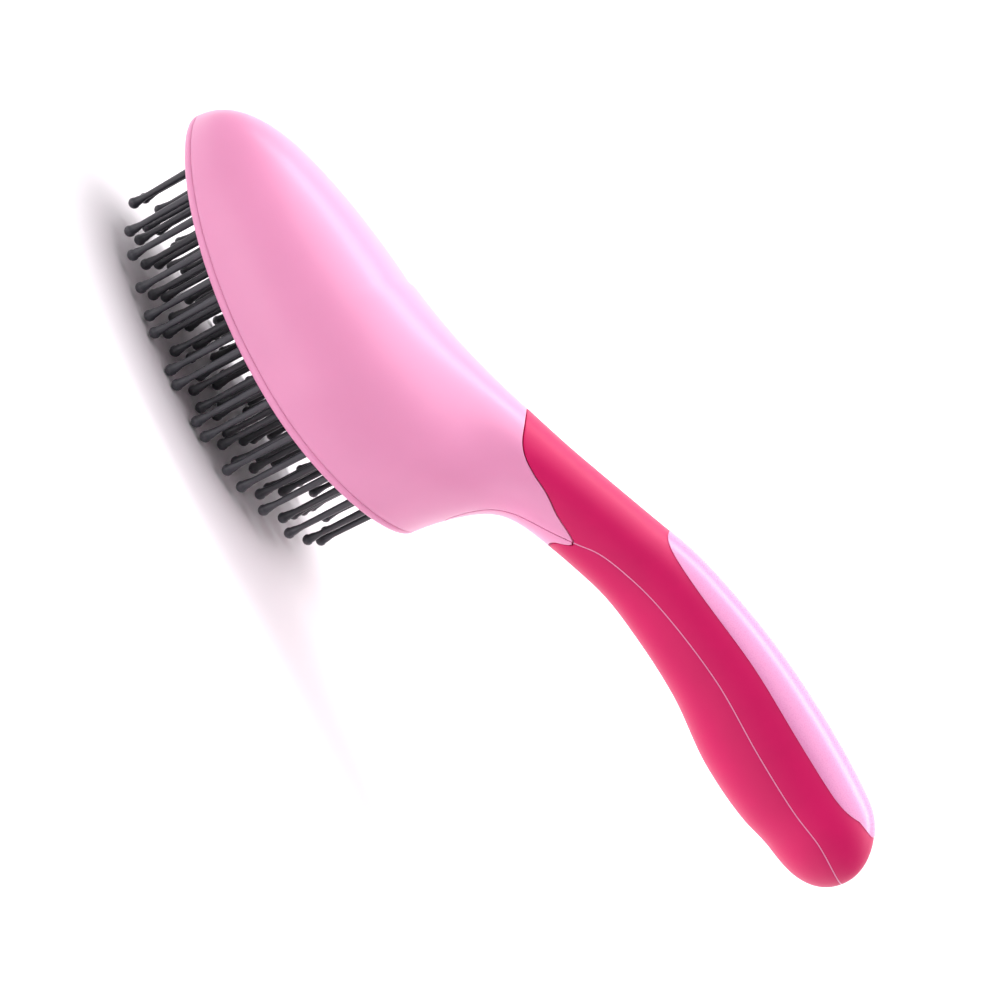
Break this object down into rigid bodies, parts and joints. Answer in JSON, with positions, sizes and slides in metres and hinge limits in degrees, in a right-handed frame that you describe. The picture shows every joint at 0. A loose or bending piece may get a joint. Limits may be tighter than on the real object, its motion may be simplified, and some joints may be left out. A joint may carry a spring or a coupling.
{
  "type": "cushioned hair brush",
  "caption": "Hand-held hair brush with a deep hollow head, a clamped rubber pad with rows of ball-tipped nylon pins, and a soft-grip handle.",
  "frame": {"origin": "under the middle of the brush's length and width, level with the lowest pin tips", "axes": "+X from the head towards the handle's end, +Z towards the back of the brush, pins point along -Z, +Y across the head"},
  "size_m": [0.24, 0.064, 0.1013],
  "materials": {
    "pink_shell": "satin light pink moulded ABS",
    "magenta_grip": "matte magenta thermoplastic rubber",
    "pink_inlay": "satin pink moulded plate",
    "grey_rubber": "matte dark rubber pad",
    "nylon_pins": "semi-gloss dark nylon"
  },
  "bodies": {
    "brush": {"back_shell": "pink_shell", "front_shell": "pink_shell", "grip_back": "magenta_grip", "grip_front": "magenta_grip", "grip_inlay": "pink_inlay", "rim_frame": "pink_shell", "bristle_pad": "grey_rubber"},
    "row_01": {"pin_row_01": "nylon_pins"},
    "row_02": {"pin_row_02": "nylon_pins"},
    "row_03": {"pin_row_03": "nylon_pins"},
    "row_04": {"pin_row_04": "nylon_pins"},
    "row_05": {"pin_row_05": "nylon_pins"},
    "row_06": {"pin_row_06": "nylon_pins"},
    "row_07": {"pin_row_07": "nylon_pins"},
    "row_08": {"pin_row_08": "nylon_pins"},
    "row_09": {"pin_row_09": "nylon_pins"},
    "row_10": {"pin_row_10": "nylon_pins"},
    "row_11": {"pin_row_11": "nylon_pins"},
    "row_12": {"pin_row_12": "nylon_pins"},
    "row_13": {"pin_row_13": "nylon_pins"}
  },
  "joints": [
    {"name": "row_01_give", "type": "slide", "parent": "brush", "child": "row_01", "axis": [0, 0, 1], "range_m": [0, 0.002], "stiffness_N_per_m": 1500},
    {"name": "row_02_give", "type": "slide", "parent": "brush", "child": "row_02", "axis": [0, 0, 1], "range_m": [0, 0.002], "stiffness_N_per_m": 1500},
    {"name": "row_03_give", "type": "slide", "parent": "brush", "child": "row_03", "axis": [0, 0, 1], "range_m": [0, 0.002], "stiffness_N_per_m": 1500},
    {"name": "row_04_give", "type": "slide", "parent": "brush", "child": "row_04", "axis": [0, 0, 1], "range_m": [0, 0.002], "stiffness_N_per_m": 1500},
    {"name": "row_05_give", "type": "slide", "parent": "brush", "child": "row_05", "axis": [0, 0, 1], "range_m": [0, 0.002], "stiffness_N_per_m": 1500},
    {"name": "row_06_give", "type": "slide", "parent": "brush", "child": "row_06", "axis": [0, 0, 1], "range_m": [0, 0.002], "stiffness_N_per_m": 1500},
    {"name": "row_07_give", "type": "slide", "parent": "brush", "child": "row_07", "axis": [0, 0, 1], "range_m": [0, 0.002], "stiffness_N_per_m": 1500},
    {"name": "row_08_give", "type": "slide", "parent": "brush", "child": "row_08", "axis": [0, 0, 1], "range_m": [0, 0.002], "stiffness_N_per_m": 1500},
    {"name": "row_09_give", "type": "slide", "parent": "brush", "child": "row_09", "axis": [0, 0, 1], "range_m": [0, 0.002], "stiffness_N_per_m": 1500},
    {"name": "row_10_give", "type": "slide", "parent": "brush", "child": "row_10", "axis": [0, 0, 1], "range_m": [0, 0.002], "stiffness_N_per_m": 1500},
    {"name": "row_11_give", "type": "slide", "parent": "brush", "child": "row_11", "axis": [0, 0, 1], "range_m": [0, 0.002], "stiffness_N_per_m": 1500},
    {"name": "row_12_give", "type": "slide", "parent": "brush", "child": "row_12", "axis": [0, 0, 1], "range_m": [0, 0.002], "stiffness_N_per_m": 1500},
    {"name": "row_13_give", "type": "slide", "parent": "brush", "child": "row_13", "axis": [0, 0, 1], "range_m": [0, 0.002], "stiffness_N_per_m": 1500}
  ]
}
